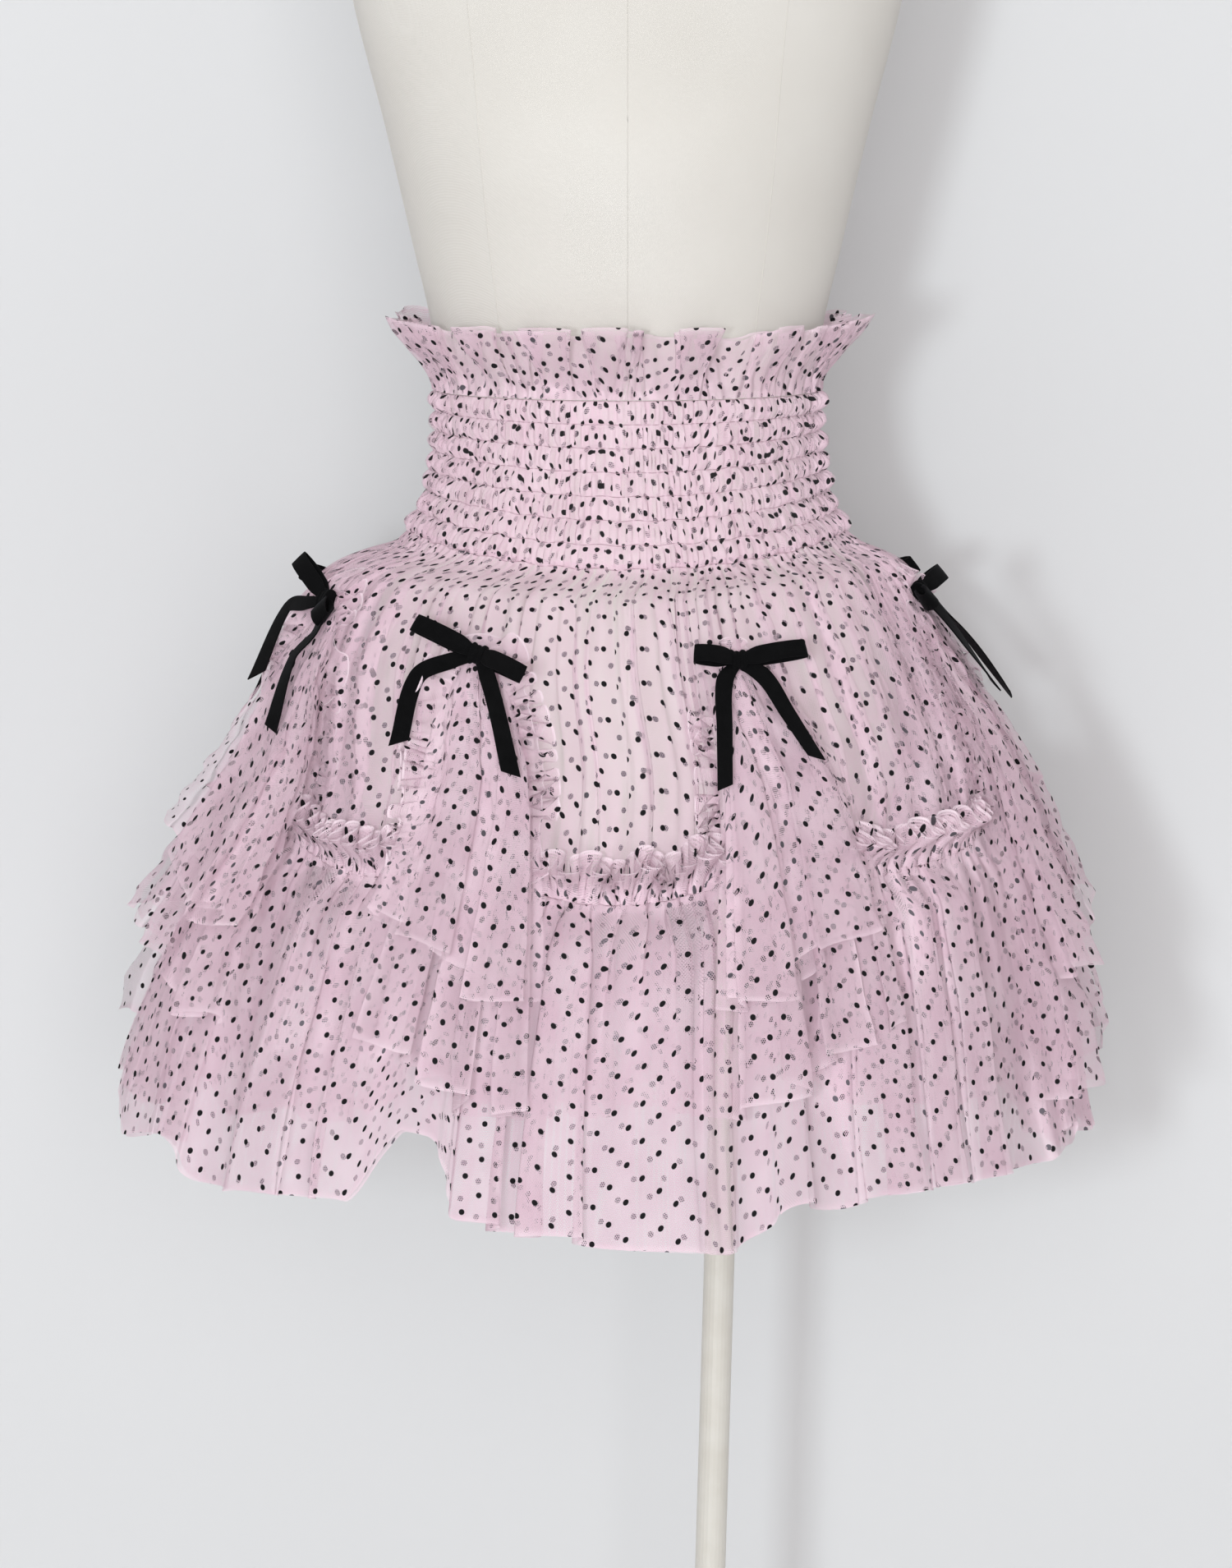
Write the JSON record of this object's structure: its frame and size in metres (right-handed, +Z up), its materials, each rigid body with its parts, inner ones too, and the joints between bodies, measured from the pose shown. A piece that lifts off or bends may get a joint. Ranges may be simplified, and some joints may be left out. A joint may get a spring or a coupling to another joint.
{
  "type": "tulle mini skirt on a limbless dress form",
  "caption": "Short gathered tulle skirt with a shirred waistband, frilled top, swagged flounce and velvet bows, shown on a limbless dress form with a pole and a round base.",
  "frame": {"origin": "on the floor, at the middle of the base's underside, under the form's upright axis", "axes": "+Z up, -Y to the front, +X to the viewer's right"},
  "size_m": [0.5785, 0.5281, 1.4833],
  "materials": {
    "pink_tulle": "double layer of fine pink net with small black flocked dots",
    "black_velvet": "matt black velvet ribbon",
    "linen": "plain off-white linen, drawn tight",
    "cream_paint": "smooth cream paint"
  },
  "bodies": {
    "root": {"top_ruffle": "pink_tulle", "waistband": "pink_tulle", "skirt_upper": "pink_tulle", "flounce": "pink_tulle", "cascade_front_right": "pink_tulle", "cascade_side_front_right": "pink_tulle", "cascade_side_back_right": "pink_tulle", "cascade_back_right": "pink_tulle", "cascade_back_left": "pink_tulle", "cascade_side_back_left": "pink_tulle", "cascade_side_front_left": "pink_tulle", "cascade_front_left": "pink_tulle", "bow_front_right": "black_velvet", "bow_side_front_right": "black_velvet", "bow_side_back_right": "black_velvet", "bow_back_right": "black_velvet", "bow_back_left": "black_velvet", "bow_side_back_left": "black_velvet", "bow_side_front_left": "black_velvet", "bow_front_left": "black_velvet", "form_torso": "linen", "form_neck_cap": "cream_paint", "form_hip_plate": "cream_paint", "stand_pole": "cream_paint", "stand_socket": "cream_paint", "stand_base": "cream_paint"}
  },
  "joints": []
}
